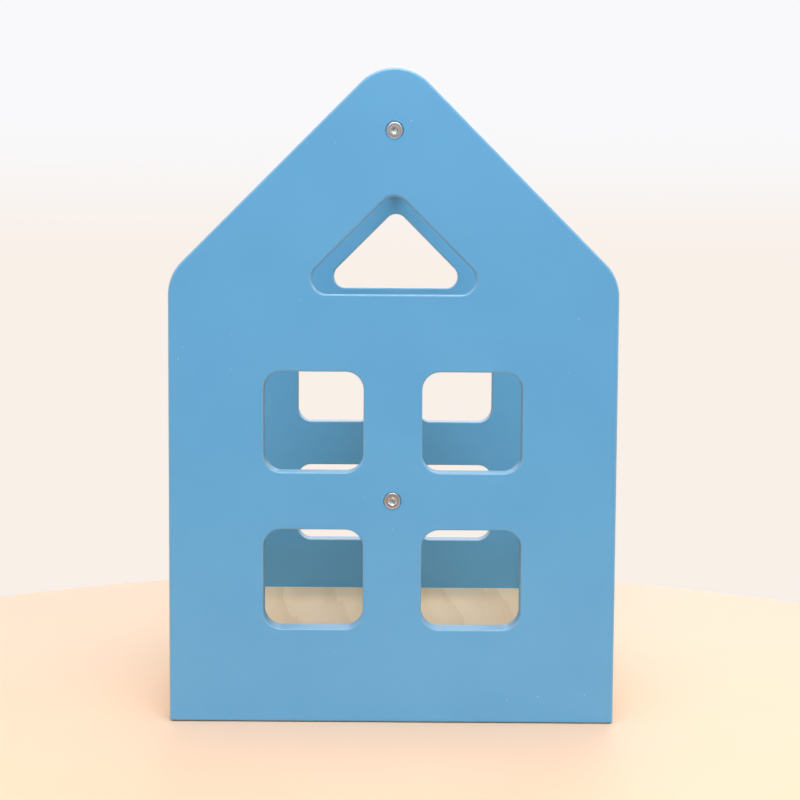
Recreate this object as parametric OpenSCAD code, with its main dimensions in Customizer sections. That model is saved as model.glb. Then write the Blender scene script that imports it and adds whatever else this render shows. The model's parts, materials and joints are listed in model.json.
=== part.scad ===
// House shaped bookcase for children's books.
// Two house shaped gable panels stand on the ground and carry everything else between them:
// a base board, a centre divider, two side rails and a ridge rail to lift it by.
// X runs across the gables, Y runs from the front gable to the rear one, Z is up.
// The origin is on the ground, under the middle of the bookcase. All sizes are in millimetres.

/* [Gable panels] */
// Width of a gable panel
house_width = 260; // [240:5:340]
// Height where side edge and roof edge would meet without the rounding
eave_height = 261; // [250:1:320]
// Slope of the roof edges in degrees
roof_angle = 45; // [40:1:50]
// Thickness of a gable panel
panel_thickness = 15; // [12:1:22]
// Radius of the rounded ridge corner
ridge_radius = 27; // [5:1:40]
// Radius of the rounded eave corners
eave_radius = 27; // [5:1:60]
// Radius of the two corners that stand on the ground
foot_radius = 2; // [0.5:0.5:8]

/* [Windows] */
// Width of a square window
window_width = 58; // [40:1:62]
// Height of a square window
window_height = 58.5; // [40:0.5:62]
// Corner radius of the square windows
window_radius = 10.5; // [4:0.5:18]
// Width of the panel left standing between two windows side by side
window_gap = 34; // [26:1:50]
// Height of the panel left standing between the two rows of windows
row_gap = 33.5; // [26:0.5:40]
// Height of the lower windows' sill above the ground
low_sill = 55.5; // [40:0.5:62]
// Height of the attic window, up to where its two slopes would meet
attic_height = 60.5; // [45:0.5:66]
// Panel above the attic window, from there up to where the roof edges would meet
attic_cover = 80; // [74:1:90]
// Corner radius of the attic window
attic_radius = 9; // [3:0.5:12]

/* [Boards between the gables] */
// Clear length between the two gable panels
shelf_length = 310; // [200:5:450]
// Air under the base board
base_lift = 3; // [0:0.5:10]
// Thickness of the base board
base_thickness = 15; // [12:1:22]
// Thickness of the centre divider
divider_thickness = 15; // [12:1:22]
// Height of the centre divider above the base board
divider_height = 226; // [190:1:232]
// Thickness of a side rail
rail_thickness = 15; // [12:1:20]
// Height of a side rail
rail_height = 65; // [56:1:110]
// Step from a panel's side edge in to the side rail
rail_inset = 2; // [0:0.5:10]
// Radius of the long top edges of divider and side rails
top_edge_radius = 2.5; // [1:0.5:5]
// Thickness of the ridge rail
ridge_rail_thickness = 15; // [12:1:20]
// Height of the ridge rail
ridge_rail_height = 40; // [36:1:44]
// Radius of the ridge rail's long edges, for the hand
ridge_rail_radius = 6; // [2:0.5:6]
// Depth of the ridge rail's centre under the top of the panels
ridge_rail_drop = 35.5; // [32:0.5:42]

/* [Connector screws] */
// Outer diameter of the thread and of the smooth shoulder
screw_diameter = 7; // [5:0.5:7]
// Length over the head
screw_length = 50; // [40:1:70]
// Diameter of the thread's core
screw_core_diameter = 4.8; // [3.5:0.1:4.8]
// Distance from one thread ridge to the next
thread_pitch = 3; // [2:0.25:4]
// Length of the smooth shoulder under the head
shoulder_length = 11; // [6:0.5:14]
// Diameter of the countersunk head
head_diameter = 10; // [8.5:0.5:12]
// Height of the head's rim, its bevel included
head_rim = 0.8; // [0.5:0.1:1.5]
// Bevel round the top of the head
head_bevel = 0.4; // [0.1:0.1:0.4]
// Height of the head's cone
head_cone = 2.4; // [1.5:0.1:4]
// Depth of the head's top under the panel's face
head_recess = 0.3; // [0:0.1:1]
// Width of the hexagonal socket across its flats
socket_width = 4; // [3:0.5:4]
// Depth of the socket
socket_depth = 2.6; // [1.5:0.1:3]
// Diameter of the cone that leads into the socket
socket_mouth = 5.4; // [5:0.1:7]
// Air round the screw in its holes
screw_clearance = 0.1; // [0.05:0.05:0.3]
// Spare depth of the hole past the screw's point
screw_tip_air = 1; // [0.5:0.5:5]

/* [Wooden dowels] */
// Diameter of a dowel
dowel_diameter = 8; // [6:0.5:8]
// Length of a dowel
dowel_length = 30; // [25:1:50]
// Length of a dowel that stands in the gable panel
dowel_in_panel = 10; // [6:0.5:10]
// Bevel at both ends of a dowel
dowel_bevel = 1; // [0.5:0.25:2]
// Air round a dowel, filled by the glue
dowel_clearance = 0.05; // [0.05:0.05:0.2]
// Air at each end of a dowel
dowel_end_air = 0.5; // [0.5:0.5:1.5]
// Distance between neighbouring dowels in the base board
base_dowel_pitch = 85; // [50:1:90]
// Distance of the divider's dowels above and below its screw
divider_dowel_offset = 75; // [30:1:85]
// Distance of a side rail's dowels above and below its middle
rail_dowel_offset = 18; // [12:1:20]
// Distance of the ridge rail's dowel below its screw
ridge_dowel_offset = 12; // [11:0.5:13]

/* [Hidden] */

$fn = 64;
cut = 1;                       // how far a cutting shape runs past the face that it cuts

paint_blue = "#6aacd6";
bare_wood = "#e3c9a0";
dowel_wood = "#cfa775";
zinc = "#b4b0b2";

// The panel's outline before its corners are rounded
peak_height = eave_height + house_width / 2 * tan(roof_angle);
panel_top = peak_height - ridge_radius * (1 / cos(roof_angle) - 1);
panel_corners = [
    [-house_width / 2, 0], [house_width / 2, 0],
    [house_width / 2, eave_height], [0, peak_height], [-house_width / 2, eave_height]
];

// The windows
middle_sill = low_sill + window_height + row_gap;
window_offset = (window_gap + window_width) / 2;
attic_top = peak_height - attic_cover;
attic_sill = attic_top - attic_height;
attic_half_width = attic_height / tan(roof_angle);
attic_corners = [[-attic_half_width, attic_sill], [attic_half_width, attic_sill], [0, attic_top]];

// The boards between the gables
board_end = shelf_length / 2;
base_top = base_lift + base_thickness;
rail_centre = house_width / 2 - rail_inset - rail_thickness / 2;
rail_middle = base_lift + rail_height / 2;
base_width = 2 * (rail_centre - rail_thickness / 2);
divider_middle = base_top + divider_height / 2;
ridge_rail_middle = panel_top - ridge_rail_drop;

// Places of the screws and dowels on a gable, as [x, z]
screw_places = [[0, divider_middle], [0, ridge_rail_middle]];
base_dowels = [for (step = [-1:1]) [step * base_dowel_pitch, base_lift + base_thickness / 2]];
divider_dowels = [for (side = [-1, 1]) [0, divider_middle + side * divider_dowel_offset]];
right_rail_dowels = [for (side = [-1, 1]) [rail_centre, rail_middle + side * rail_dowel_offset]];
left_rail_dowels = [for (place = right_rail_dowels) [-place[0], place[1]]];
ridge_dowels = [[0, ridge_rail_middle - ridge_dowel_offset]];
all_dowels = concat(base_dowels, divider_dowels, right_rail_dowels, left_rail_dowels, ridge_dowels);

// Round corners of a convex outline, each as [centre, where its arc starts, where it ends, radius].
// Radius 0 keeps a corner sharp.
function unit(v) = v / norm(v);
function tangent_length(radius, a, b) = radius * sqrt((1 + a * b) / (1 - a * b));
function round_corner(corner, before, after, radius) = let (
    back = unit(before - corner),
    ahead = unit(after - corner),
    reach = tangent_length(radius, back, ahead)
) [
    corner + norm([radius, reach]) * unit(back + ahead),
    corner + reach * back,
    corner + reach * ahead,
    radius
];
function round_corners(corners, radii) = let (count = len(corners)) [
    for (i = [0:count - 1])
        round_corner(corners[i], corners[(i + count - 1) % count], corners[(i + 1) % count], radii[i])
];

// The outline itself: cut off straight at each arc, and filled up again by the arc's own circle
module rounded_outline(corners, radii) {
    arcs = round_corners(corners, radii);
    polygon([for (arc = arcs) each arc[3] > 0 ? [arc[1], arc[2]] : [arc[1]]]);
    for (arc = arcs) if (arc[3] > 0) translate(arc[0]) circle(arc[3]);
}

// A rectangle that stands on z = low, centred on x = 0
function upright(width, low, height) = [
    [-width / 2, low], [width / 2, low], [width / 2, low + height], [-width / 2, low + height]
];

// Lays an outline drawn in x and z against the front gable's outer side and pulls it towards +Y
module along_y(start, length) {
    translate([0, start + length, 0]) rotate([90, 0, 0]) linear_extrude(length) children();
}

// Mirrors what is made for the front gable to the rear one
module at_rear() {
    mirror([0, 1, 0]) children();
}

// One connector screw. Its axis is z, its head's top is at z = 0 and its point is at the bottom.
// The thread is drawn as rings, each rising to a narrow flat and falling off again.
head_height = head_rim + head_cone;
thread_start = head_height + shoulder_length;
point_length = screw_core_diameter / 2;
ring_count = floor((screw_length - thread_start - point_length) / thread_pitch);
thread_end = thread_start + ring_count * thread_pitch;
ring_flat = [0.45, 0.55];      // where a ring's flat starts and ends, in shares of the pitch
module connector_screw() {
    core = screw_core_diameter / 2;
    crest = screw_diameter / 2;
    rings = [for (i = [0:ring_count - 1]) each [
        [core, -thread_start - i * thread_pitch],
        [crest, -thread_start - (i + ring_flat[0]) * thread_pitch],
        [crest, -thread_start - (i + ring_flat[1]) * thread_pitch]
    ]];
    difference() {
        rotate_extrude() polygon(concat(
            [
                [0, 0], [head_diameter / 2 - head_bevel, 0], [head_diameter / 2, -head_bevel],
                [head_diameter / 2, -head_rim],
                [crest, -head_height], [crest, -thread_start + (crest - core)]
            ],
            rings,
            [
                [core, -thread_end], [core, -screw_length + point_length],
                [core / 3, -screw_length], [0, -screw_length]
            ]
        ));
        translate([0, 0, -socket_depth]) {
            cylinder(h = socket_depth + cut, d = socket_width / cos(30), $fn = 6);
        }
        // The cone's wall stands at 45 degrees and is as wide as the mouth at z = 0
        translate([0, 0, -socket_mouth / 4]) {
            cylinder(h = socket_mouth / 2, r1 = socket_mouth / 4, r2 = socket_mouth * 3 / 4);
        }
    }
}

// A screw at its place in the front gable
panel_face = -board_end - panel_thickness;
module front_screw(place) {
    translate([place[0], panel_face + head_recess, place[1]]) rotate([90, 0, 0]) connector_screw();
}

// The stepped hole for a screw, through the panel and into the end of the board behind it
module screw_hole(place) {
    hole_radius = screw_diameter / 2 + screw_clearance;
    seat_radius = head_diameter / 2 + screw_clearance;
    seat_depth = head_recess + head_rim + screw_clearance;
    translate([place[0], panel_face, place[1]]) rotate([-90, 0, 0]) {
        translate([0, 0, -cut]) cylinder(h = cut + seat_depth, r = seat_radius);
        translate([0, 0, seat_depth]) cylinder(h = head_cone, r1 = seat_radius, r2 = hole_radius);
        cylinder(h = head_recess + screw_length + screw_tip_air, r = hole_radius);
    }
}

// Dowels at their places, half in the front gable and half in the board behind it
module front_dowels(places) {
    radius = dowel_diameter / 2;
    for (place = places) {
        translate([place[0], -board_end - dowel_in_panel, place[1]]) rotate([-90, 0, 0]) {
            rotate_extrude() polygon([
                [0, 0], [radius - dowel_bevel, 0], [radius, dowel_bevel],
                [radius, dowel_length - dowel_bevel], [radius - dowel_bevel, dowel_length],
                [0, dowel_length]
            ]);
        }
    }
}

// Blind holes for those dowels
module dowel_holes(places) {
    for (place = places) {
        translate([place[0], -board_end - dowel_in_panel - dowel_end_air, place[1]]) {
            rotate([-90, 0, 0]) {
                cylinder(h = dowel_length + 2 * dowel_end_air, d = dowel_diameter + 2 * dowel_clearance);
            }
        }
    }
}

// A board between the gables: holes for the given screws and dowels are drilled in both ends
module end_holes(screws, dowels) {
    for (place = screws) screw_hole(place);
    dowel_holes(dowels);
}
module drilled_both_ends(screws, dowels) {
    difference() {
        children();
        end_holes(screws, dowels);
        at_rear() end_holes(screws, dowels);
    }
}

module gable_outline() {
    difference() {
        rounded_outline(panel_corners, [foot_radius, foot_radius, eave_radius, ridge_radius, eave_radius]);
        for (side = [-1, 1], sill = [low_sill, middle_sill]) translate([side * window_offset, 0]) {
            rounded_outline(upright(window_width, sill, window_height), [for (i = [1:4]) window_radius]);
        }
        rounded_outline(attic_corners, [for (i = [1:3]) attic_radius]);
    }
}

module gable() {
    difference() {
        along_y(panel_face, panel_thickness) gable_outline();
        for (place = screw_places) screw_hole(place);
        dowel_holes(all_dowels);
    }
}

module front_gable() {
    color(paint_blue) gable();
}

module rear_gable() {
    color(paint_blue) at_rear() gable();
}

module base_board() {
    color(bare_wood) drilled_both_ends([], base_dowels) {
        translate([-base_width / 2, -board_end, base_lift]) {
            cube([base_width, shelf_length, base_thickness]);
        }
    }
}

module centre_divider() {
    color(bare_wood) drilled_both_ends([screw_places[0]], divider_dowels) {
        along_y(-board_end, shelf_length) rounded_outline(
            upright(divider_thickness, base_top, divider_height),
            [0, 0, top_edge_radius, top_edge_radius]
        );
    }
}

module side_rail(side, dowels) {
    color(bare_wood) drilled_both_ends([], dowels) {
        translate([side * rail_centre, 0, 0]) along_y(-board_end, shelf_length) rounded_outline(
            upright(rail_thickness, base_lift, rail_height),
            [0, 0, top_edge_radius, top_edge_radius]
        );
    }
}

module left_side_rail() {
    side_rail(-1, left_rail_dowels);
}

module right_side_rail() {
    side_rail(1, right_rail_dowels);
}

module ridge_rail() {
    color(bare_wood) drilled_both_ends([screw_places[1]], ridge_dowels) {
        along_y(-board_end, shelf_length) rounded_outline(
            upright(ridge_rail_thickness, ridge_rail_middle - ridge_rail_height / 2, ridge_rail_height),
            [for (i = [1:4]) ridge_rail_radius]
        );
    }
}

module front_ridge_screw() {
    color(zinc) front_screw(screw_places[1]);
}

module front_centre_screw() {
    color(zinc) front_screw(screw_places[0]);
}

module rear_ridge_screw() {
    color(zinc) at_rear() front_screw(screw_places[1]);
}

module rear_centre_screw() {
    color(zinc) at_rear() front_screw(screw_places[0]);
}

module front_base_dowels() {
    color(dowel_wood) front_dowels(base_dowels);
}

module rear_base_dowels() {
    color(dowel_wood) at_rear() front_dowels(base_dowels);
}

module front_divider_dowels() {
    color(dowel_wood) front_dowels(divider_dowels);
}

module rear_divider_dowels() {
    color(dowel_wood) at_rear() front_dowels(divider_dowels);
}

module front_left_rail_dowels() {
    color(dowel_wood) front_dowels(left_rail_dowels);
}

module rear_left_rail_dowels() {
    color(dowel_wood) at_rear() front_dowels(left_rail_dowels);
}

module front_right_rail_dowels() {
    color(dowel_wood) front_dowels(right_rail_dowels);
}

module rear_right_rail_dowels() {
    color(dowel_wood) at_rear() front_dowels(right_rail_dowels);
}

module front_ridge_dowel() {
    color(dowel_wood) front_dowels(ridge_dowels);
}

module rear_ridge_dowel() {
    color(dowel_wood) at_rear() front_dowels(ridge_dowels);
}

front_gable();
rear_gable();
base_board();
centre_divider();
left_side_rail();
right_side_rail();
ridge_rail();
front_ridge_screw();
front_centre_screw();
rear_ridge_screw();
rear_centre_screw();
front_base_dowels();
rear_base_dowels();
front_divider_dowels();
rear_divider_dowels();
front_left_rail_dowels();
rear_left_rail_dowels();
front_right_rail_dowels();
rear_right_rail_dowels();
front_ridge_dowel();
rear_ridge_dowel();
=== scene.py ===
import json
import math

import bpy
from mathutils import Matrix, Vector

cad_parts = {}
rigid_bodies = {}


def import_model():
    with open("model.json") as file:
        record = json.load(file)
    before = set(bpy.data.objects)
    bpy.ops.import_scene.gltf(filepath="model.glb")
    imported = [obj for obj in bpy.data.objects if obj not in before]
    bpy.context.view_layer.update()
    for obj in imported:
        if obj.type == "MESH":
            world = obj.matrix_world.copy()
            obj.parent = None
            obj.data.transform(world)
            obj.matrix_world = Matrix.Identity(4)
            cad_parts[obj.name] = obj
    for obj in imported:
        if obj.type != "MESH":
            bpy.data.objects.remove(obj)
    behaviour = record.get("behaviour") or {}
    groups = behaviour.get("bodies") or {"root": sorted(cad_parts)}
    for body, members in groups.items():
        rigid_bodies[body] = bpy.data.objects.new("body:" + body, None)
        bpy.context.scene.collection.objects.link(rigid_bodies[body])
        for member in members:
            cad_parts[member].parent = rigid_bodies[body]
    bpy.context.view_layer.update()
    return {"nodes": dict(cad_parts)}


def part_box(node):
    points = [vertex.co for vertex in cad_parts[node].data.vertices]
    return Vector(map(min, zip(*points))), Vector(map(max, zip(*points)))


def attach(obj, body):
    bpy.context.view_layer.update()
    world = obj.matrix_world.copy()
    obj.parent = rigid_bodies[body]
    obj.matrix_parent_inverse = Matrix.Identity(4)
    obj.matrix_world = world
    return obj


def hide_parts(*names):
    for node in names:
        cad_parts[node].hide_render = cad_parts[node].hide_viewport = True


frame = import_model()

# House shaped bookcase, two painted gables with bare plywood boards between them.
# X runs across the gables, Y from the front gable to the rear one, Z is up. The bookcase's sizes
# are in millimetres, and mm turns them into Blender's metres. The stage is in metres.
mm = 0.001
weld = 1e-6      # metres, within which points are joined
hair = 1e-5      # metres, a length too small to see


# A socket that takes Python's operators. An expression on it adds the Math nodes.
class Wire:
    def __init__(self, graph, socket):
        self.graph = graph
        self.socket = socket

    def math(self, operation, *others):
        values = dict(enumerate((self, *others)))
        return self.graph.add("ShaderNodeMath", {"operation": operation}, values)

    def __add__(self, other):
        return self.math("ADD", other)

    def __mul__(self, other):
        return self.math("MULTIPLY", other)

    # A number may stand first, as in 1 - mask
    __radd__ = __add__
    __rmul__ = __mul__

    def __sub__(self, other):
        return self.math("SUBTRACT", other)

    def __rsub__(self, other):
        return (self * -1).math("ADD", other)

    def __truediv__(self, other):
        return self.math("DIVIDE", other)

    def __abs__(self):
        return self.math("ABSOLUTE")

    def __gt__(self, other):
        return self.math("GREATER_THAN", other)

    def __lt__(self, other):
        return self.math("LESS_THAN", other)

    def fraction(self):
        return self.math("FRACT")

    def floor(self):
        return self.math("FLOOR")

    def most(self, other):
        return self.math("MAXIMUM", other)

    # 0 below low, 1 above high, and an even rise between them
    def ramp(self, low, high, smooth=True):
        kind = "SMOOTHSTEP" if smooth else "LINEAR"
        limits = {"Value": self, "From Min": low, "From Max": high}
        return self.graph.add("ShaderNodeMapRange", {"interpolation_type": kind}, limits)

    # Another output of the same node
    def output(self, name):
        return Wire(self.graph, self.socket.node.outputs[name])


# A node tree that is filled by calls. Inputs are given by name or by place among those in use.
class Graph:
    def __init__(self, tree):
        self.tree = tree

    def add(self, kind, settings=None, values=None):
        node = self.tree.nodes.new(kind)
        for key, value in (settings or {}).items():
            if key == "stops":
                self.setStops(node.color_ramp, value)
            else:
                setattr(node, key, value)
        usable = [socket for socket in node.inputs if socket.enabled]
        for key, value in (values or {}).items():
            self.give(usable[key] if isinstance(key, int) else self.named(usable, key), value)
        usableOut = [socket for socket in node.outputs if socket.enabled]
        return Wire(self, usableOut[0]) if usableOut else node

    def named(self, sockets, name):
        return next(socket for socket in sockets if socket.name == name)

    def give(self, socket, value):
        for one in value if isinstance(value, list) else [value]:
            if isinstance(one, Wire):
                self.tree.links.new(one.socket, socket)
            else:
                socket.default_value = one

    def setStops(self, ramp, stops):
        while len(ramp.elements) < len(stops):
            ramp.elements.new(1.0)
        for element, (place, colour) in zip(ramp.elements, stops):
            element.position = place
            element.color = colour

    def vector(self, operation, *vectors):
        return self.add("ShaderNodeVectorMath", {"operation": operation}, dict(enumerate(vectors)))

    def combine(self, x, y, z):
        return self.add("ShaderNodeCombineXYZ", {}, {0: x, 1: y, 2: z})

    def split(self, vector):
        x = self.add("ShaderNodeSeparateXYZ", {}, {0: vector})
        return x, x.output("Y"), x.output("Z")

    def mix(self, factor, first, second, blend="MIX"):
        settings = {"data_type": "RGBA", "blend_type": blend}
        return self.add("ShaderNodeMix", settings, {"Factor": factor, "A": first, "B": second})


# A Geometry Nodes tree with named inputs, given as name: (socket type, default)
def shapeTree(name, inputs):
    tree = bpy.data.node_groups.new(name, "GeometryNodeTree")
    tree.is_modifier = True
    for label, (kind, default) in inputs.items():
        socket = tree.interface.new_socket(label, in_out="INPUT", socket_type="NodeSocket" + kind)
        if default is not None:
            socket.default_value = default
    tree.interface.new_socket("Geometry", in_out="OUTPUT", socket_type="NodeSocketGeometry")
    graph = Graph(tree)
    source = tree.nodes.new("NodeGroupInput")
    wires = {label: Wire(graph, source.outputs[label]) for label in inputs}
    return graph, wires


def guideGeometry(graph, guide):
    return graph.add("GeometryNodeObjectInfo", {}, {"Object": guide}).output("Geometry")


# Faces are smooth, edges sharper than the angle stay sharp, and the tree ends in its material
def finishShape(graph, geometry, material, sharpAngle=32):
    smooth = graph.add("GeometryNodeSetShadeSmooth", {"domain": "FACE"}, {"Geometry": geometry})
    angle = graph.add("GeometryNodeInputMeshEdgeAngle")
    sharp = graph.add("GeometryNodeSetShadeSmooth", {"domain": "EDGE"}, {
        "Geometry": smooth, "Selection": angle > math.radians(sharpAngle), "Shade Smooth": False})
    real = graph.add("GeometryNodeRealizeInstances", {}, {"Geometry": sharp})
    done = graph.add("GeometryNodeSetMaterial", {}, {"Geometry": real, "Material": material})
    graph.add("NodeGroupOutput", {}, {0: done})


# Runs a tree once and keeps its result as a plain mesh
def runTree(name, graph, values):
    piece = bpy.data.objects.new(name, bpy.data.meshes.new(name))
    bpy.context.scene.collection.objects.link(piece)
    modifier = piece.modifiers.new("shape", "NODES")
    modifier.node_group = graph.tree
    sockets = {item.name: item.identifier for item in graph.tree.interface.items_tree}
    for label, value in values.items():
        modifier[sockets[label]] = value
    normals = piece.modifiers.new("normals", "WEIGHTED_NORMAL")
    normals.keep_sharp = True
    depsgraph = bpy.context.evaluated_depsgraph_get()
    mesh = bpy.data.meshes.new_from_object(piece.evaluated_get(depsgraph), depsgraph=depsgraph)
    piece.modifiers.clear()
    # The boolean leaves an empty material slot before the tree's own one
    while len(mesh.materials) > 1 and mesh.materials[0] is None:
        mesh.materials.pop(index=0)
    blank = piece.data
    piece.data = mesh
    bpy.data.meshes.remove(blank)
    mesh.name = name
    return piece


# A helper curve of straight stretches. A point is (x, y) or (x, y, corner radius).
def guideCurve(name, loops, closed=True):
    curve = bpy.data.curves.new(name, "CURVE")
    curve.dimensions = "3D"
    for loop in loops:
        spline = curve.splines.new("POLY")
        spline.points.add(len(loop) - 1)
        spline.use_cyclic_u = closed
        for point, (x, y, *radius) in zip(spline.points, loop):
            point.co = (x * mm, y * mm, 0, 1)
            point.radius = radius[0] * mm if radius else 0
    guide = bpy.data.objects.new(name, curve)
    bpy.context.scene.collection.objects.link(guide)
    return guide


# A helper mesh of loose points
def guidePoints(name, places):
    mesh = bpy.data.meshes.new(name)
    mesh.from_pydata([[value * mm for value in place] for place in places], [], [])
    guide = bpy.data.objects.new(name, mesh)
    bpy.context.scene.collection.objects.link(guide)
    return guide


# The wall along an outline, rounded over at both rims, and the outline of the flat it leaves.
# The outline is drawn in x and z, counter-clockwise outside and clockwise round a window.
def edgeWall(graph, given, outline, rim):
    length = given["Length"]
    corners = graph.add("GeometryNodeFilletCurve", {"mode": "POLY"}, {
        "Curve": guideGeometry(graph, outline), "Count": given["Corner Steps"],
        "Radius": graph.add("GeometryNodeInputRadius"), "Limit Radius": False})
    upright = graph.add("GeometryNodeSetCurveNormal", {"mode": "Z_UP"}, {"Curve": corners})
    plain = graph.add("GeometryNodeSetCurveRadius", {}, {"Curve": upright, "Radius": 1.0})
    # From the front face round the edge, along the wall and round to the rear face
    section = graph.add("GeometryNodeCurvePrimitiveQuadrilateral", {"mode": "POINTS"}, {
        "Point 1": graph.combine(rim * -1, 0, 0), "Point 2": (0, 0, 0),
        "Point 3": graph.combine(0, length, 0), "Point 4": graph.combine(rim * -1, length, 0)})
    opened = graph.add("GeometryNodeSetSplineCyclic", {}, {"Geometry": section, "Cyclic": False})
    profile = graph.add("GeometryNodeFilletCurve", {"mode": "POLY"}, {
        "Curve": opened, "Count": given["Rim Steps"], "Radius": rim, "Limit Radius": False})
    wall = graph.add("GeometryNodeCurveToMesh", {}, {"Curve": plain, "Profile Curve": profile})
    inwards = graph.vector("SCALE", graph.add("GeometryNodeInputNormal"), rim * -1)
    inner = graph.add("GeometryNodeSetPosition", {}, {"Geometry": plain, "Offset": inwards})
    return wall, inner


# A board: the walls along its outline and round its windows, closed by two flat faces
def boardTree():
    graph, given = shapeTree("milledBoard", {
        "Outline": ("Object", None), "Windows": ("Object", None),
        "Screw Drills": ("Object", None), "Dowel Drills": ("Object", None),
        "Front": ("Float", 0.0), "Length": ("Float", 0.015),
        "Rim Radius": ("Float", 0.0018), "Window Rim Radius": ("Float", 0.001),
        "Rim Steps": ("Int", 5), "Corner Steps": ("Int", 16), "Material": ("Material", None),
    })
    outer, outerFlat = edgeWall(graph, given, given["Outline"], given["Rim Radius"])
    holes, holesFlat = edgeWall(graph, given, given["Windows"], given["Window Rim Radius"])
    flat = graph.add("GeometryNodeJoinGeometry", {}, {"Geometry": [outerFlat, holesFlat]})
    face = graph.add("GeometryNodeFillCurve", {"mode": "NGONS"}, {"Curve": flat})
    farFace = graph.add("GeometryNodeTransform", {}, {
        "Geometry": graph.add("GeometryNodeFlipFaces", {}, {"Mesh": face}),
        "Translation": graph.combine(0, 0, given["Length"] * -1)})
    shell = graph.add("GeometryNodeJoinGeometry", {}, {"Geometry": [outer, holes, face, farFace]})
    closed = graph.add("GeometryNodeMergeByDistance", {}, {"Geometry": shell, "Distance": weld})
    standing = graph.add("GeometryNodeTransform", {}, {
        "Geometry": closed, "Rotation": (math.pi / 2, 0, 0),
        "Translation": graph.combine(0, given["Front"], 0)})
    drills = [guideGeometry(graph, given[kind]) for kind in ("Screw Drills", "Dowel Drills")]
    drilled = graph.add("GeometryNodeMeshBoolean", {"operation": "DIFFERENCE", "solver": "EXACT"}, {
        "Mesh 1": standing, "Mesh 2": drills})
    finishShape(graph, drilled, given["Material"])
    return graph


# Spins a profile of radius (x) and depth (y) round an axis, with the depth along +Z. The profile
# sweeps round a small ring, and is drawn in by that ring's radius so that it meets the axis.
def spun(graph, profile, sides, spineRadius=0.01):
    drawnIn = graph.add("GeometryNodeSetPosition", {}, {
        "Geometry": profile, "Offset": (-spineRadius, 0, 0)})
    ring = graph.add("GeometryNodeCurvePrimitiveCircle", {}, {
        "Resolution": sides, "Radius": spineRadius})
    skin = graph.add("GeometryNodeCurveToMesh", {}, {"Curve": ring, "Profile Curve": drawnIn})
    closed = graph.add("GeometryNodeMergeByDistance", {}, {"Geometry": skin, "Distance": weld})
    return graph.add("GeometryNodeTransform", {}, {"Geometry": closed, "Rotation": (math.pi, 0, 0)})


# Sets copies of a part at its places. Its axis, +Z, turns inwards from both ends of the bookcase.
def atPlaces(graph, part, places, seed=7):
    side = graph.split(graph.add("GeometryNodeInputPosition"))[1].math("SIGN")
    turned = graph.add("GeometryNodeInstanceOnPoints", {}, {
        "Points": guideGeometry(graph, places), "Instance": part,
        "Rotation": graph.combine(side * (math.pi / 2), 0, 0)})
    spin = graph.add("FunctionNodeRandomValue", {"data_type": "FLOAT"}, {
        "Min": 0.0, "Max": 2 * math.pi, "Seed": seed})
    return graph.add("GeometryNodeRotateInstances", {}, {
        "Instances": turned, "Rotation": graph.combine(0, 0, spin), "Local Space": True})


# Plain spun parts at their places: the drills that cut the boards' holes
def spunTree():
    graph, given = shapeTree("spunParts", {
        "Profile": ("Object", None), "Places": ("Object", None), "Sides": ("Int", 48),
        "Material": ("Material", None),
    })
    part = spun(graph, guideGeometry(graph, given["Profile"]), given["Sides"])
    finishShape(graph, atPlaces(graph, part, given["Places"]), given["Material"])
    return graph


# Dowels have flutes along their sides, which let the glue spread
def dowelTree():
    graph, given = shapeTree("flutedDowels", {
        "Profile": ("Object", None), "Places": ("Object", None), "Sides": ("Int", 96),
        "Side Radius": ("Float", 0.004), "Flutes": ("Int", 16), "Flute Depth": ("Float", 0.00015),
        "Material": ("Material", None),
    })
    part = spun(graph, guideGeometry(graph, given["Profile"]), given["Sides"])
    x, y, _ = graph.split(graph.add("GeometryNodeInputPosition"))
    radius = graph.vector("LENGTH", graph.combine(x, y, 0))
    wave = (y.math("ARCTAN2", x) * given["Flutes"]).math("COSINE")
    onSide = radius > given["Side Radius"] * 0.99
    depth = wave.ramp(0.2, 1.0) * given["Flute Depth"] * onSide / radius
    fluted = graph.add("GeometryNodeSetPosition", {}, {
        "Geometry": part, "Offset": graph.combine(x * depth * -1, y * depth * -1, 0)})
    finishShape(graph, atPlaces(graph, fluted, given["Places"]), given["Material"])
    return graph


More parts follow.
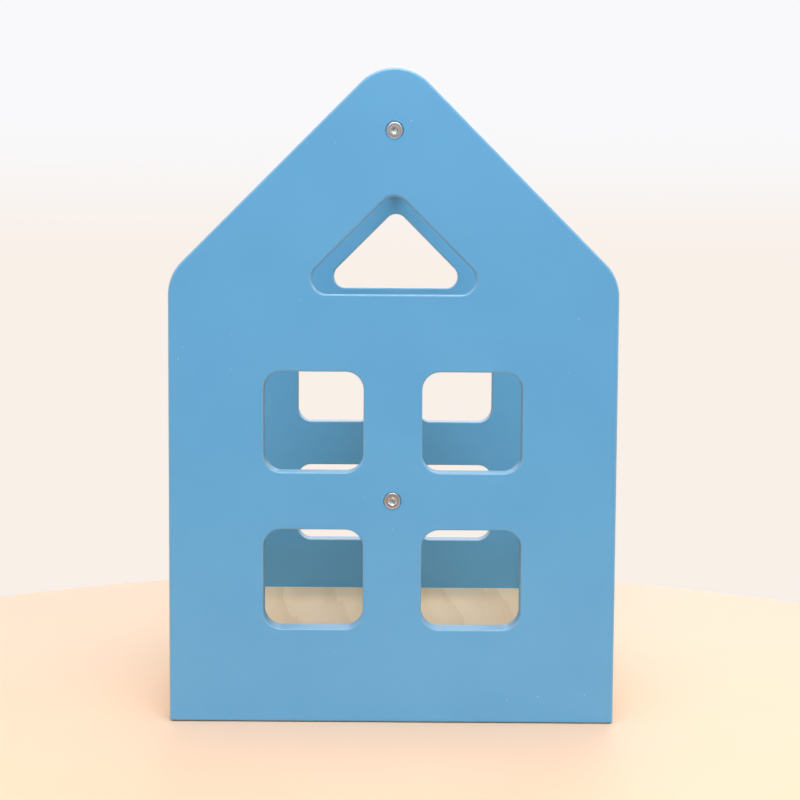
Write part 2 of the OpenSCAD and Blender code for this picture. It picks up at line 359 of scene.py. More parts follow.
# A connector screw: spun blank, a helical thread raised on it, and a hexagonal socket cut in
def screwTree():
    graph, given = shapeTree("connectorScrews", {
        "Profile": ("Object", None), "Places": ("Object", None), "Sides": ("Int", 48),
        "Thread Start": ("Float", 0.0142), "Thread End": ("Float", 0.0472),
        "Thread Pitch": ("Float", 0.003), "Thread Height": ("Float", 0.0011),
        "Socket Width": ("Float", 0.004), "Socket Depth": ("Float", 0.0026),
        "Mouth": ("Float", 0.0051), "Drill Point": ("Float", 0.0011),
        "Material": ("Material", None),
    })
    blank = spun(graph, guideGeometry(graph, given["Profile"]), given["Sides"])
    x, y, z = graph.split(graph.add("GeometryNodeInputPosition"))
    radius = graph.vector("LENGTH", graph.combine(x, y, 0))
    # Turns of the helix that a point lies at, raised by 1000 to stay above zero
    turns = z / given["Thread Pitch"] + y.math("ARCTAN2", x) / (2 * math.pi) + 1000
    fromCrest = abs(turns.fraction() - 0.5)
    ridge = fromCrest.ramp(0.48, 0.06, smooth=False)
    lead = given["Thread Pitch"] * 0.8
    fade = z.ramp(given["Thread Start"], given["Thread Start"] + lead)
    tail = z.ramp(given["Thread End"], given["Thread End"] - lead)
    lift = ridge * fade * tail * given["Thread Height"] / radius.most(hair)
    threaded = graph.add("GeometryNodeSetPosition", {}, {
        "Geometry": blank, "Offset": graph.combine(x * lift, y * lift, 0)})
    hexagon = graph.add("GeometryNodeMeshCylinder", {}, {
        "Vertices": 6, "Radius": given["Socket Width"] / (2 * math.cos(math.pi / 6)),
        "Depth": given["Socket Depth"] * 2})
    mouth = graph.add("GeometryNodeMeshCone", {}, {
        "Vertices": given["Sides"], "Radius Top": 0.0, "Radius Bottom": given["Mouth"],
        "Depth": given["Mouth"]})
    leadIn = graph.add("GeometryNodeTransform", {}, {
        "Geometry": mouth, "Translation": graph.combine(0, 0, given["Mouth"] * -0.5)})
    tip = graph.add("GeometryNodeMeshCone", {}, {
        "Vertices": 24, "Radius Top": 0.0, "Radius Bottom": given["Socket Width"] * 0.49,
        "Depth": given["Drill Point"]})
    point = graph.add("GeometryNodeTransform", {}, {
        "Geometry": tip, "Translation": graph.combine(0, 0, given["Socket Depth"] - hair)})
    cut = graph.add("GeometryNodeMeshBoolean", {"operation": "DIFFERENCE", "solver": "EXACT"}, {
        "Mesh 1": threaded, "Mesh 2": [hexagon, leadIn, point]})
    finishShape(graph, atPlaces(graph, cut, given["Places"]), given["Material"])
    return graph


# What every material starts from: its own graph and the object's texture coordinates
def materialGraph(name):
    made = bpy.data.materials.new(name)
    made.use_nodes = True
    made.node_tree.nodes.clear()
    graph = Graph(made.node_tree)
    return made, graph, graph.add("ShaderNodeTexCoord")


def finishMaterial(graph, values):
    shader = graph.add("ShaderNodeBsdfPrincipled", {}, values)
    graph.add("ShaderNodeOutputMaterial", {}, {"Surface": shader})


# Scale is in cells per metre
def noise(graph, vector, scale, detail=2.0, roughness=0.5):
    return graph.add("ShaderNodeTexNoise", {}, {
        "Vector": vector, "Scale": scale, "Detail": detail, "Roughness": roughness})


# Height is in metres, as Bump wants it with a strength of 1
def bump(graph, height):
    return graph.add("ShaderNodeBump", {}, {"Strength": 1.0, "Distance": 1.0, "Height": height})


bluePaint = {
    "colour": (0.103, 0.378, 0.68, 1),
    # Rims and walls are paler and greyer: partly thin paint that the edges drink, partly a painted
    # highlight
    "thinAndHighlightColour": (0.25, 0.42, 0.50, 1), "thinAndHighlightOnRim": 0.55, "thinAndHighlightOnWall": 0.3,
    "cloudScale": 22.0, "darkCloud": (0.965, 0.975, 0.985, 1), "paleCloud": (1.03, 1.02, 1.01, 1),
    # Roughness and the gloss coat. A jamb is a wall that faces sideways or down.
    "roughness": 0.40, "roughnessSpread": 0.06, "jambRoughness": 0.6,
    "coat": 0.45, "jambCoat": 0.05, "coatRoughness": 0.28,
    "peelSize": 1.6, "peelHeight": 0.004,      # orange peel of a sprayed coat
    "fibreSize": 0.35, "fibreHeight": 0.006,   # wood fibres that stand up under it on the edges
    "dustPitch": 17.0, "dustSize": 0.42, "dustShare": 0.10, "dustHeight": 0.05,
    "dustColour": (0.45, 0.74, 0.90, 1), "dustStrength": 0.8,
    # Paint pushed up round a screw's head in patches, and a dark ring of painted shadow next to it
    "lipPlace": 5.7, "lipWidth": 0.7, "lipHeight": 0.05,
    "screwShadowTo": 5.6, "screwShadowColour": (0.03, 0.19, 0.36, 1), "screwShadowStrength": 0.45,
    "patchScale": 420.0,
    "footShadowColour": (0.05, 0.07, 0.07, 1), "footShadowHeight": 1.0,   # painted contact shadow on the edge that it stands on
    # Nibs on the front panel, where dust fell into the wet paint: x, z and diameter
    "nibs": [(9.6, 349.8, 0.9), (-124.1, 212.8, 0.9), (-121.2, 219.8, 0.7), (-93.4, 227.5, 0.6),
             (-93.5, 207.2, 0.6), (-54.2, 247.3, 0.6), (106.7, 237.4, 0.9), (62.4, 226.7, 0.6),
             (101.3, 206.2, 0.6), (67.7, 14.2, 0.8), (85.8, 16.1, 0.9), (113.4, 17.5, 0.8)],
}


# The distance from the axis of the nearer of two screws, one above the other
def screwRadius(graph, place, places):
    x, _, z = graph.split(place)
    upper, lower = (height for _, _, height in places)
    nearUpper = z > (upper + lower) / 2 * mm
    middle = lower * mm + nearUpper * ((upper - lower) * mm)
    return graph.vector("LENGTH", graph.combine(x, 0, z - middle))


# Satin paint on board: sprayed flat on the faces, drunk in on the edges, a few dust specks. Also
# painted into its colour: a paler highlight on rims and walls, a ring of shadow round each screw's
# head, and contact shadow along the foot.
def makeBluePaint(screwPlaces):
    made, graph, coordinates = materialGraph("bluePaint")
    place = coordinates.output("Object")
    x, y, z = graph.split(place)
    # How far a spot is face, rounded rim, wall or jamb, by the way it points
    tilt = graph.split(coordinates.output("Normal"))
    facing = abs(tilt[1])
    onFace = facing.ramp(0.97, 0.995)
    onWall = 1 - facing.ramp(0.05, 0.30)
    onRim = (1 - onWall) * (1 - facing.ramp(0.75, 0.97))
    onJamb = onWall * (1 - tilt[2].ramp(0.2, 0.7))
    onFront = (y < 0) * (tilt[1] < -0.95)

    peel = noise(graph, place, 1 / (bluePaint["peelSize"] * mm), 1.5)
    fibre = noise(graph, place, 1 / (bluePaint["fibreSize"] * mm), 3.0, 0.6)
    clouds = noise(graph, place, bluePaint["cloudScale"], 3.0, 0.55)
    cells = graph.add("ShaderNodeTexVoronoi", {"voronoi_dimensions": "2D"}, {
        "Vector": graph.combine(x, z, 0), "Scale": 1 / (bluePaint["dustPitch"] * mm)})
    chance, kind, _ = graph.split(cells.output("Color"))
    reach = bluePaint["dustSize"] / bluePaint["dustPitch"] * (0.35 + kind * 0.65)
    speck = 1 - (cells.output("Distance") / reach).ramp(0.6, 1.0)
    dust = speck * (chance < bluePaint["dustShare"]) * onFace
    for nibX, nibZ, size in bluePaint["nibs"]:
        away = graph.vector("LENGTH", graph.combine(x - nibX * mm, 0, z - nibZ * mm))
        dust = dust.most((1 - away.ramp(size * 0.3 * mm, size * 0.5 * mm)) * onFront)

    # Paler rims and walls: thin paint drunk in, and a painted highlight on them
    thinAndHighlight = onRim * bluePaint["thinAndHighlightOnRim"] + onWall * bluePaint["thinAndHighlightOnWall"]
    shade = graph.mix(thinAndHighlight, bluePaint["colour"], bluePaint["thinAndHighlightColour"])
    cloudy = graph.mix(clouds.ramp(0.3, 0.7), bluePaint["darkCloud"], bluePaint["paleCloud"])
    coated = graph.mix(1.0, shade, cloudy, "MULTIPLY")
    fromScrew = screwRadius(graph, place, screwPlaces)
    patchy = noise(graph, place, bluePaint["patchScale"], 1.0).ramp(0.35, 0.65)
    # A dark teal ring of painted shadow round each screw's head, wider than the gap's own shadow
    screwShadow = (1 - (fromScrew / (bluePaint["screwShadowTo"] * mm)).ramp(0.93, 1.0)) * onFace
    screwShadowBy = screwShadow * (bluePaint["screwShadowStrength"] + patchy * bluePaint["screwShadowStrength"])
    screwShaded = graph.mix(screwShadowBy, coated, bluePaint["screwShadowColour"])
    # Painted contact shadow: dark along the lowest millimetre of the edge it stands on
    footShadow = 1 - z.ramp(bluePaint["footShadowHeight"] * 0.4 * mm, bluePaint["footShadowHeight"] * mm)
    footShaded = graph.mix(footShadow * (0.6 + clouds * 0.4), screwShaded, bluePaint["footShadowColour"])
    colour = graph.mix(dust * bluePaint["dustStrength"], footShaded, bluePaint["dustColour"])

    height = peel * onFace * (bluePaint["peelHeight"] * mm)
    height = height + fibre * (1 - onFace) * (bluePaint["fibreHeight"] * mm)
    height = height + dust * (bluePaint["dustHeight"] * mm)
    fromLip = abs(fromScrew - bluePaint["lipPlace"] * mm)
    lip = (1 - fromLip.ramp(0, bluePaint["lipWidth"] * mm)) * patchy
    height = height + lip * onFace * (bluePaint["lipHeight"] * mm)
    rough = bluePaint["roughness"] + (clouds - 0.5) * bluePaint["roughnessSpread"]
    rough = rough + onJamb * (bluePaint["jambRoughness"] - bluePaint["roughness"])
    coat = bluePaint["coat"] + onJamb * (bluePaint["jambCoat"] - bluePaint["coat"])
    finishMaterial(graph, {
        "Base Color": colour, "Roughness": rough, "IOR": 1.5, "Normal": bump(graph, height),
        "Coat Weight": coat, "Coat Roughness": bluePaint["coatRoughness"]})
    return made


plywood = {
    "plies": 11,
    "pale": (0.82, 0.66, 0.455, 1), "grain": (0.65, 0.47, 0.29, 1), "pore": (0.45, 0.30, 0.16, 1),
    "cross": (0.54, 0.38, 0.23, 1), "glue": (0.22, 0.14, 0.08, 1),
    "dull": (0.95, 0.945, 0.93, 1), "bright": (1.03, 1.03, 1.03, 1),
    "ringsAcross": 26.0, "ringWander": 9.0,    # rings in a metre of width, and how far they stray
    # How much late wood, fibres, pores, cross plies and glue joints show
    "lateShade": 0.42, "fibreShade": 0.55, "poreShade": 0.45, "crossShade": 0.85, "glueShade": 0.75,
    "poreDepth": 0.012, "glueDepth": 0.02, "fibreHeight": 0.006,
    "roughness": 0.55, "poreRoughness": 0.12, "roughnessSpread": 0.08,
}


# Birch plywood, cut from a solid pattern: plies across its thickness, the grain of every second
# one along the board. The axes are places in (x, y, z). Factors of across and along are cells per
# metre, few along the grain and many across it.
def makePlywood(name, node, thicknessAxis, widthAxis):
    low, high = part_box(node)
    thickness = high[thicknessAxis] - low[thicknessAxis]
    made, graph, coordinates = materialGraph(name)
    place = coordinates.output("Object")
    parts = graph.split(place)
    depth = (parts[thicknessAxis] - low[thicknessAxis]) / thickness
    along = parts[1]
    across = parts[widthAxis]

    wander = noise(graph, graph.combine(across * 6, along * 1.2, depth), 9.0, 2.0) - 0.5
    # The outer plies are sanded to half their thickness
    step = depth * (plywood["plies"] - 1) + 0.5 + wander * 0.05
    ply = step.floor()
    inPly = step.fraction()
    crossPly = (ply * 0.5).fraction() > 0.25
    joint = abs(inPly - 0.5).ramp(0.455, 0.50)

    # Long grain: each ring darkens slowly and ends in a fine line, pores are short dark strokes
    swell = noise(graph, graph.combine(across * 11, along * 1.6, ply * 3.1), 1.0, 3.0, 0.45)
    ripple = noise(graph, graph.combine(across * 160, along * 7.0, ply * 5.3), 1.0, 2.0, 0.5)
    rings = swell * plywood["ringWander"] + across * plywood["ringsAcross"] + ripple * 0.35
    late = rings.fraction()
    lateWood = late.ramp(0.25, 0.93) * (1 - late.ramp(0.95, 1.0))
    fibres = noise(graph, graph.combine(across * 1500, along * 26, depth * 700), 1.0, 3.0, 0.6)
    pores = noise(graph, graph.combine(across * 2800, along * 150, depth * 900), 1.0, 1.0, 0.5)
    strokes = pores.ramp(0.66, 0.78)
    shade = lateWood * plywood["lateShade"] + (fibres - 0.5) * plywood["fibreShade"]
    wood = graph.mix(shade, plywood["pale"], plywood["grain"])
    longGrain = graph.mix(strokes * plywood["poreShade"], wood, plywood["pore"])

    # End grain of the plies that run across: darker, with fine dots
    dots = noise(graph, graph.combine(across * 2200, along * 2200, depth * 33), 1.0, 2.0, 0.7)
    endGrain = graph.mix(dots.ramp(0.35, 0.75) * 0.6, plywood["cross"], plywood["grain"])
    layered = graph.mix(crossPly * plywood["crossShade"], longGrain, endGrain)
    glued = graph.mix(joint * plywood["glueShade"], layered, plywood["glue"])
    tone = noise(graph, place, 7.0, 2.0)
    warmth = graph.mix(tone.ramp(0.3, 0.7), plywood["dull"], plywood["bright"])
    colour = graph.mix(1.0, glued, warmth, "MULTIPLY")

    height = strokes * (-plywood["poreDepth"] * mm) + joint * (-plywood["glueDepth"] * mm)
    height = height + fibres * (plywood["fibreHeight"] * mm)
    rough = plywood["roughness"] + strokes * plywood["poreRoughness"]
    rough = rough + (tone - 0.5) * plywood["roughnessSpread"]
    finishMaterial(graph, {
        "Base Color": colour, "Roughness": rough, "IOR": 1.45, "Normal": bump(graph, height)})
    return made


zincSteel = {
    "bright": (0.88, 0.89, 0.91, 1), "cloudy": (0.70, 0.70, 0.73, 1),
    "scuffedReflection": (0.335, 0.305, 0.34, 1), "socket": (0.41, 0.48, 0.49, 1),
    "headRingFrom": 2.6, "headRingTo": 4.05,           # the ring on the head's face that a tool scuffs, its colour a painted reflection of a dim room
    "socketTo": 2.3, "tintSize": 1.1,
    # The faint colours of its passivation
    "tints": [(0.36, (0.86, 1.0, 0.88, 1)), (0.47, (1.0, 1.0, 0.94, 1)),
              (0.56, (0.92, 0.92, 1.0, 1)), (0.66, (1.0, 0.86, 0.95, 1))],
    "roughness": 0.22, "wornRoughness": 0.14, "cloudyRoughness": 0.06,
    "cloudScale": 600.0, "cloudHeight": 0.0015,
    "lineScale": 9000, "lineHeight": 0.002,    # turned lines round the axis
}


# Zinc plated steel: turned lines round each screw's axis, cloudy plating, a scuffed face ring
# carrying a painted reflection, and painted shade in the socket
def makeZincSteel(places):
    made, graph, coordinates = materialGraph("zincSteel")
    place = coordinates.output("Object")
    depth = graph.split(place)[1]
    radius = screwRadius(graph, place, places)
    turned = graph.combine(radius * zincSteel["lineScale"], depth * 900, 0)
    lines = noise(graph, turned, 1.0, 2.0, 0.6)
    clouds = noise(graph, place, zincSteel["cloudScale"], 3.0, 0.6)
    shiny = clouds.ramp(0.35, 0.65)
    plating = graph.mix(shiny, zincSteel["cloudy"], zincSteel["bright"])
    facing = abs(graph.split(coordinates.output("Normal"))[1]).ramp(0.90, 0.98)
    start, end = zincSteel["headRingFrom"] * mm, zincSteel["headRingTo"] * mm
    ring = radius.ramp(start, start * 1.05) * (1 - radius.ramp(end, end * 1.04))
    # The scuffed ring's dark mauve colour is a painted reflection of a dim, pinkish room
    scuffedReflection = facing * ring * (0.85 + (lines - 0.5) * 0.8)
    # Darker, greener patches inside the socket are painted shade in the recess
    inSocket = 1 - (radius / (zincSteel["socketTo"] * mm)).ramp(0.85, 1.0)
    scuffedAndReflected = graph.mix(scuffedReflection, plating, zincSteel["scuffedReflection"])
    shaded = graph.mix(inSocket * clouds.ramp(0.62, 0.42), scuffedAndReflected, zincSteel["socket"])
    tint = graph.add("ShaderNodeValToRGB", {"stops": zincSteel["tints"]}, {
        0: noise(graph, place, 1 / (zincSteel["tintSize"] * mm), 1.5)})
    colour = graph.mix(1.0, shaded, tint, "MULTIPLY")
    rough = zincSteel["roughness"] + scuffedReflection * zincSteel["wornRoughness"]
    rough = rough + (1 - shiny) * zincSteel["cloudyRoughness"]
    height = lines * (zincSteel["lineHeight"] * mm) + clouds * (zincSteel["cloudHeight"] * mm)
    finishMaterial(graph, {
        "Base Color": colour, "Metallic": 1.0, "Roughness": rough, "Normal": bump(graph, height)})
    return made


beech = {
    "colour": (0.60, 0.41, 0.24, 1), "fleck": (0.40, 0.24, 0.13, 1),
    "fleckShade": 0.7, "fleckDepth": 0.01, "bandShade": 0.25,
    "roughness": 0.6, "fleckRoughness": 0.1,
}


# Bare beech: short dark flecks along the grain, which runs along the dowels
def makeBeech():
    made, graph, coordinates = materialGraph("beech")
    x, y, z = graph.split(coordinates.output("Object"))
    flecks = noise(graph, graph.combine(x * 2400, y * 260, z * 2400), 1.0, 2.0, 0.5)
    flecks = flecks.ramp(0.56, 0.70)
    bands = noise(graph, graph.combine(x * 500, y * 20, z * 500), 1.0, 3.0)
    dark = flecks * beech["fleckShade"] + bands * beech["bandShade"]
    finishMaterial(graph, {
        "Base Color": graph.mix(dark, beech["colour"], beech["fleck"]),
        "Roughness": beech["roughness"] + flecks * beech["fleckRoughness"],
        "Normal": bump(graph, flecks * (-beech["fleckDepth"] * mm))})
    return made


# Where the screws and dowels go, as (x, y, z) in millimetres, from the frame's own boards. Y is
# the outer end of each: in the front gable, and mirrored in the rear one.
joints = {
    "headRecess": 0.3, "dowelInGable": 10, "dowelAir": 0.5,
    # Dowels across the base board, up and down from the middle of the divider and the side rails,
    # and down from the ridge rail's screw
    "basePitch": 85, "dividerOffset": 75, "railOffset": 18, "ridgeOffset": 12,
}


def middleOf(node):
    low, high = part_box(node)
    return (low + high) / (2 * mm)


def onBothGables(places, depthInGable):
    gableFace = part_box("base_board")[1].y / mm
    ends = (-gableFace - depthInGable, gableFace + depthInGable)
    return [(x, y, z) for y in ends for x, z in places]


def screwSpots():
    return [(0, middleOf(node).z) for node in ("ridge_rail", "centre_divider")]


def dowelSpots():
    base = middleOf("base_board").z
    divider = middleOf("centre_divider").z
    ridge = middleOf("ridge_rail").z
    spots = [(step * joints["basePitch"], base) for step in (-1, 0, 1)]
    spots += [(0, divider + side * joints["dividerOffset"]) for side in (-1, 1)]
    for rail in (middleOf("left_side_rail"), middleOf("right_side_rail")):
        spots += [(rail.x, rail.z + side * joints["railOffset"]) for side in (-1, 1)]
    return spots + [(0, ridge - joints["ridgeOffset"])]


gableNodes = {"frontGable": "front_gable", "rearGable": "rear_gable"}
gable = {
    "eaveHeight": 261, "roofAngle": 45, "ridgeRadius": 27, "eaveRadius": 27, "footRadius": 2,
    "rimRadius": 1.8, "rimSteps": 5, "cornerSteps": 18,
}
window = {
    "width": 58, "height": 58.5, "radius": 10.5, "gapAcross": 34, "gapUp": 33.5, "lowSill": 55.5,
    "atticTop": 311, "atticHeight": 60.5, "atticRadius": 9, "rimRadius": 1,
}


def gableOutline(half):
    eave = gable["eaveHeight"]
    peak = eave + half * math.tan(math.radians(gable["roofAngle"]))
    foot, shoulder, ridge = gable["footRadius"], gable["eaveRadius"], gable["ridgeRadius"]
    return [(-half, 0, foot), (half, 0, foot), (half, eave, shoulder),
            (0, peak, ridge), (-half, eave, shoulder)]


def windowOutlines():
    loops = []
    radius = window["radius"]
    for side in (-1, 1):
        middle = side * (window["gapAcross"] + window["width"]) / 2
        left, right = middle - window["width"] / 2, middle + window["width"] / 2
        for row in (0, 1):
            low = window["lowSill"] + row * (window["height"] + window["gapUp"])
            high = low + window["height"]
            loops.append([(left, low, radius), (left, high, radius),
                          (right, high, radius), (right, low, radius)])
    top, radius = window["atticTop"], window["atticRadius"]
    sill = top - window["atticHeight"]
    reach = window["atticHeight"] / math.tan(math.radians(gable["roofAngle"]))
    loops.append([(-reach, sill, radius), (0, top, radius), (reach, sill, radius)])
    return loops


# Corners are the radii of a board's section: bottom left, bottom right, top right, top left.
# Thickness and width tell the axis of each: 0 is x, 2 is z. All boards run along y.
boards = {
    "baseBoard": {
        "node": "base_board", "corners": (0.6, 0.6, 0.6, 0.6), "thickness": 2, "width": 0},
    "centreDivider": {
        "node": "centre_divider", "corners": (0.6, 0.6, 2.5, 2.5), "thickness": 0, "width": 2},
    "leftSideRail": {
        "node": "left_side_rail", "corners": (1.2, 0.6, 2.5, 2.5), "thickness": 0, "width": 2},
    "rightSideRail": {
        "node": "right_side_rail", "corners": (0.6, 1.2, 2.5, 2.5), "thickness": 0, "width": 2},
    "ridgeRail": {
        "node": "ridge_rail", "corners": (6, 6, 6, 6), "thickness": 0, "width": 2},
}
boardEnds = {"rimRadius": 0.35, "rimSteps": 2, "cornerSteps": 8}


def boardOutline(node, corners):
    low, high = (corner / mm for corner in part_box(node))
    places = [(low.x, low.z), (high.x, low.z), (high.x, high.z), (low.x, high.z)]
    return [[(x, z, radius) for (x, z), radius in zip(places, corners)]]


screw = {
    "length": 50, "headRadius": 5, "headRound": 0.8, "headRim": 0.8, "headCone": 2.4,
    "radius": 3.5, "coreRadius": 2.4, "shoulder": 11,
    "threadPitch": 3, "threadRunIn": 0.6, "ringsPerTurn": 9,
    "socketWidth": 4, "socketDepth": 2.6, "mouth": 5.1, "drillPoint": 1.1, "air": 0.1, "tipAir": 1,
}
dowel = {"length": 30, "radius": 4, "bevel": 1, "glue": 0.05, "flutes": 16, "fluteDepth": 0.15}


def screwProfile():
    rim, rounding = screw["headRadius"], screw["headRound"]
    head = screw["headRim"] + screw["headCone"]
    crest, core = screw["radius"], screw["coreRadius"]
    threadStart = head + screw["shoulder"] + crest - core
    tipStart = screw["length"] - core
    rings = round((tipStart - threadStart) / screw["threadPitch"] * screw["ringsPerTurn"])
    depths = [threadStart + (tipStart - threadStart) * i / rings for i in range(rings + 1)]
    turns = [math.radians(angle) for angle in range(0, 91, 15)]
    edge = [(rim - rounding * (1 - math.sin(turn)), rounding * (1 - math.cos(turn)))
            for turn in turns]
    return [(0, 0), *edge, (rim, screw["headRim"]), (crest, head),
            (crest, head + screw["shoulder"]), *((core, depth) for depth in depths),
            (core / 3, screw["length"]), (0, screw["length"])]


# The stepped drill for a screw: seat, cone and bore. It starts outside the gable's face.
def screwDrillProfile(outside=2):
    seat, bore = screw["headRadius"] + screw["air"], screw["radius"] + screw["air"]
    seatDepth = screw["headRim"] + screw["air"]
    end = screw["length"] + screw["tipAir"]
    return [(0, -outside), (seat, -outside), (seat, seatDepth),
            (bore, seatDepth + screw["headCone"]), (bore, end), (0, end)]


def dowelProfile():
    radius, bevel, length = dowel["radius"], dowel["bevel"], dowel["length"]
    return [(0, 0), (radius - bevel, 0), (radius, bevel), (radius, length - bevel),
            (radius - bevel, length), (0, length)]


def dowelDrillProfile():
    radius, air = dowel["radius"] + dowel["glue"], joints["dowelAir"]
    end = dowel["length"] + air
    return [(0, -air), (radius, -air), (radius, end), (0, end)]


print("screws and dowels")
low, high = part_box("front_gable")
gableThickness = (high.y - low.y) / mm
screwPlaces = onBothGables(screwSpots(), gableThickness - joints["headRecess"])
dowelPlaces = onBothGables(dowelSpots(), joints["dowelInGable"])
screwPoints = guidePoints("screwPoints", screwPlaces)
dowelPoints = guidePoints("dowelPoints", dowelPlaces)
paint = makeBluePaint(screwPlaces[:2])
steel = makeZincSteel(screwPlaces[:2])

screwHead = screw["headRim"] + screw["headCone"]
screws = runTree("connectorScrews", screwTree(), {
    "Profile": guideCurve("screwProfile", [screwProfile()], closed=False), "Places": screwPoints,
    "Sides": 48, "Thread Start": (screwHead + screw["shoulder"] + screw["threadRunIn"]) * mm,
    "Thread End": (screw["length"] - screw["coreRadius"]) * mm,
    "Thread Pitch": screw["threadPitch"] * mm,
    "Thread Height": (screw["radius"] - screw["coreRadius"]) * mm,
    "Socket Width": screw["socketWidth"] * mm, "Socket Depth": screw["socketDepth"] * mm,
    "Mouth": screw["mouth"] * mm, "Drill Point": screw["drillPoint"] * mm, "Material": steel,
})
dowels = runTree("glueDowels", dowelTree(), {
    "Profile": guideCurve("dowelProfile", [dowelProfile()], closed=False), "Places": dowelPoints,
    "Side Radius": dowel["radius"] * mm, "Flutes": dowel["flutes"],
    "Flute Depth": dowel["fluteDepth"] * mm, "Material": makeBeech(),
})

print("drills")
drillTree = spunTree()
screwDrills = runTree("screwDrills", drillTree, {
    "Profile": guideCurve("screwDrill", [screwDrillProfile()], closed=False),
    "Places": screwPoints,
})
dowelDrills = runTree("dowelDrills", drillTree, {
    "Profile": guideCurve("dowelDrill", [dowelDrillProfile()], closed=False),
    "Places": dowelPoints,
})

print("gables and boards")
board = boardTree()
drills = {"Screw Drills": screwDrills, "Dowel Drills": dowelDrills}
pieces = {}
for name, node in gableNodes.items():
    low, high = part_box(node)
    outline = guideCurve(name + "Outline", [gableOutline(high.x / mm)])
    windows = guideCurve(name + "WindowsOutline", windowOutlines())
    pieces[name] = runTree(name, board, {
        "Outline": outline, "Windows": windows, **drills, "Front": low.y, "Length": high.y - low.y,
        "Rim Radius": gable["rimRadius"] * mm, "Window Rim Radius": window["rimRadius"] * mm,
        "Rim Steps": gable["rimSteps"], "Corner Steps": gable["cornerSteps"], "Material": paint,
    })
for name, plan in boards.items():
    low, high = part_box(plan["node"])
    outline = guideCurve(name + "Outline", boardOutline(plan["node"], plan["corners"]))
    pieces[name] = runTree(name, board, {
        "Outline": outline, **drills, "Front": low.y, "Length": high.y - low.y,
        "Rim Radius": boardEnds["rimRadius"] * mm, "Rim Steps": boardEnds["rimSteps"],
        "Corner Steps": boardEnds["cornerSteps"],
        "Material": makePlywood(name + "Plywood", plan["node"], plan["thickness"], plan["width"]),
    })

print("helpers away")
guides = [thing for thing in bpy.context.scene.objects if thing.name.endswith(
    ("Points", "Profile", "Drill", "Drills", "Outline"))]
for guide in guides:
    bpy.data.objects.remove(guide)

print("the frame's nodes and what stands for them")
pieceNodes = {**gableNodes, **{name: plan["node"] for name, plan in boards.items()}}
for name, node in pieceNodes.items():
    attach(pieces[name], "root")
    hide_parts(node)
for piece, word, slot in ((screws, "screw", "zinc_steel"), (dowels, "dowel", "dowel_wood")):
    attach(piece, "root")
    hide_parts(*(node for node in frame["nodes"] if word in node))

photo = {
    "width": 800, "focalLength": 1683.3,       # in its own pixels
    "distance": 969.4, "x": 4.73, "z": 266.3,  # of the lens, in mm, distance to the gable's face
    "pitch": 4.506, "yaw": 0.039, "roll": 0.364,
    "filmWidth": 36.0,
}


def makeCamera():
    lens = bpy.data.cameras.new("photoCamera")
    lens.sensor_width = photo["filmWidth"]
    lens.lens = photo["focalLength"] / photo["width"] * lens.sensor_width
    camera = bpy.data.objects.new("photoCamera", lens)
    turn = Matrix.Rotation(math.radians(photo["yaw"]), 4, "Z")
    turn = turn @ Matrix.Rotation(math.radians(90 - photo["pitch"]), 4, "X")
    turn = turn @ Matrix.Rotation(math.radians(photo["roll"]), 4, "Z")
    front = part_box("front_gable")[0].y
    place = Vector((photo["x"] * mm, front - photo["distance"] * mm, photo["z"] * mm))
    camera.matrix_world = Matrix.Translation(place) @ turn
    bpy.context.scene.collection.objects.link(camera)
    bpy.context.scene.camera = camera


table = {
    "colour": (0.86, 0.65, 0.49, 1), "frontColour": (0.92, 0.60, 0.40, 1),
    "shadedFrom": 0.15, "shadedTo": -0.45,     # along y, from the one colour to the other
    "cloudColour": (0.97, 0.97, 0.97, 1), "cloudScale": 5.0, "roughness": 0.6,
    "radius": 0.495, "place": -0.182, "sides": 180,
}


# Plain matt table top, warm and pale
def makeTableMaterial():
    made, graph, coordinates = materialGraph("paleTable")
    place = coordinates.output("Object")
    y = graph.split(place)[1]
    blend = y.ramp(table["shadedFrom"], table["shadedTo"])
    shade = graph.mix(blend, table["colour"], table["frontColour"])
    clouds = noise(graph, place, table["cloudScale"], 2.0)
    cloudy = graph.mix(clouds, (1, 1, 1, 1), table["cloudColour"])
    finishMaterial(graph, {
        "Base Color": graph.mix(1.0, shade, cloudy, "MULTIPLY"), "Roughness": table["roughness"]})
    return made


# A round sheet at the height of the bookcase's feet
def makeTable():
    material = makeTableMaterial()
    radius, place = table["radius"], table["place"]
    turns = [2 * math.pi * i / table["sides"] for i in range(table["sides"])]
    corners = [(radius * math.cos(turn), place + radius * math.sin(turn), 0) for turn in turns]
    mesh = bpy.data.meshes.new("table")
    mesh.from_pydata(corners, [], [tuple(range(len(corners)))])
    mesh.materials.append(material)
    sheet = bpy.data.objects.new("table", mesh)
    bpy.context.scene.collection.objects.link(sheet)


room = {
    "haze": (0.95, 0.87, 0.81, 1), "sky": (0.945, 0.945, 0.96, 1),
    "hazeFrom": 0.0, "hazeTo": 0.085,          # where haze turns into sky, 0 is the horizon
    "daylight": (0.87, 0.94, 1.0, 1), "strength": 0.42,    # what the room sheds on the bookcase
    # The room behind the camera, as metal shows it, and where it begins
    "nearSide": 0.5, "nearFrom": -0.9, "nearTo": -0.1,
}


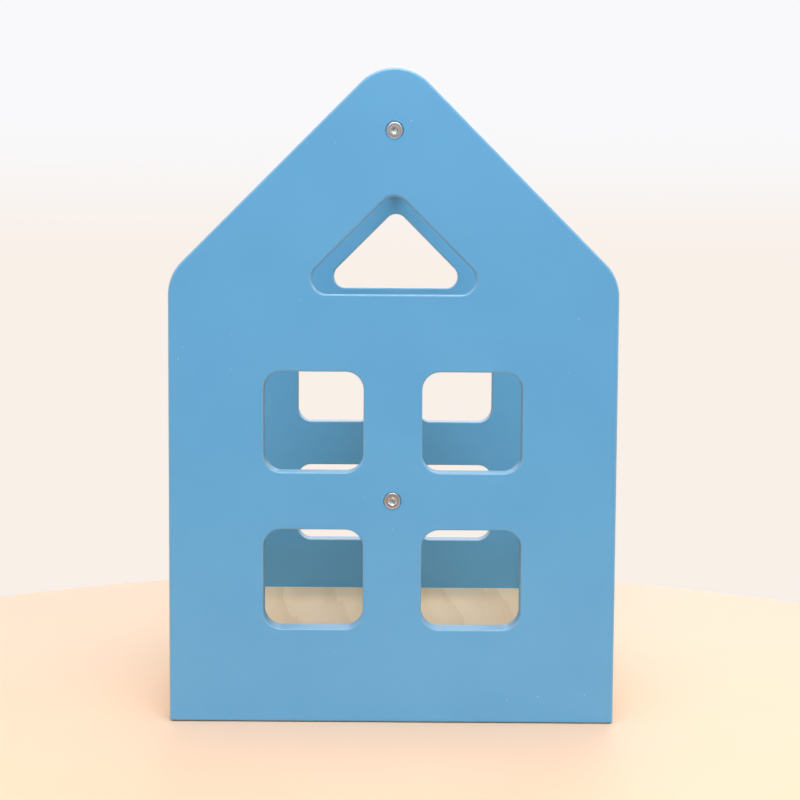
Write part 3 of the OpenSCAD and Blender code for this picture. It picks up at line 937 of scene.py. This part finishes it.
# The backdrop: cream up to the horizon and a little over it, then nearly white. The camera, metal
# and glass see it. What falls on the bookcase as light is plainer.
def makeWorld():
    world = bpy.data.worlds.new("studio")
    world.use_nodes = True
    world.node_tree.nodes.clear()
    graph = Graph(world.node_tree)
    path = graph.add("ShaderNodeLightPath")
    toCamera = path.output("Is Camera Ray")
    mirrored = path.output("Is Glossy Ray").most(path.output("Is Transmission Ray"))
    shown = toCamera.most(mirrored)
    _, ahead, height = graph.split(graph.add("ShaderNodeTexCoord"))
    backdrop = graph.mix(height.ramp(room["hazeFrom"], room["hazeTo"]), room["haze"], room["sky"])
    farSide = ahead.ramp(room["nearFrom"], room["nearTo"])
    inMetal = room["nearSide"] + farSide * (1 - room["nearSide"])
    strength = toCamera + (1 - toCamera) * mirrored * inMetal + (1 - shown) * room["strength"]
    glow = graph.add("ShaderNodeBackground", {}, {
        "Color": graph.mix(shown, room["daylight"], backdrop), "Strength": strength})
    graph.add("ShaderNodeOutputWorld", {}, {"Surface": glow})
    bpy.context.scene.world = world


# The softboxes: place, the point that each faces, width and height, watts and colour
lamps = {
    "overheadSoftbox": ((0, -0.4, 1.55), (0, -0.1, 0.2), (1.2, 1.6), 15, (1, 0.985, 0.965)),
    "foreSoftbox": ((0, -1.1, 1.5), (0, 0, 0.2), (1.4, 0.9), 6, (1, 0.985, 0.965)),
    "frontSoftbox": ((0.2, -1.8, 1.4), (0, 0, 0.2), (1.4, 1.2), 12.5, (1, 0.98, 0.955)),
    "rearSoftbox": ((0.3, 1.7, 1.2), (0, 0, 0.2), (1.4, 1.0), 11, (1, 0.985, 0.97)),
    "leftSoftbox": ((-1.8, -0.3, 0.9), (0, 0, 0.2), (1.4, 1.2), 5, (1, 0.99, 0.98)),
    "rightSoftbox": ((1.8, -0.3, 0.9), (0, 0, 0.2), (1.4, 1.2), 6.5, (1, 0.99, 0.98)),
}


def makeLight(name, place, target, size, power, colour):
    light = bpy.data.lights.new(name, "AREA")
    light.shape = "RECTANGLE"
    light.size, light.size_y = size
    light.energy = power
    light.color = colour
    lamp = bpy.data.objects.new(name, light)
    turn = (Vector(place) - Vector(target)).to_track_quat("Z", "Y")
    lamp.matrix_world = Matrix.Translation(place) @ turn.to_matrix().to_4x4()
    bpy.context.scene.collection.objects.link(lamp)


print("stage, light and camera")
makeTable()
makeWorld()
for name, settings in lamps.items():
    makeLight(name, *settings)
makeCamera()
bpy.context.scene.view_settings.view_transform = "Standard"
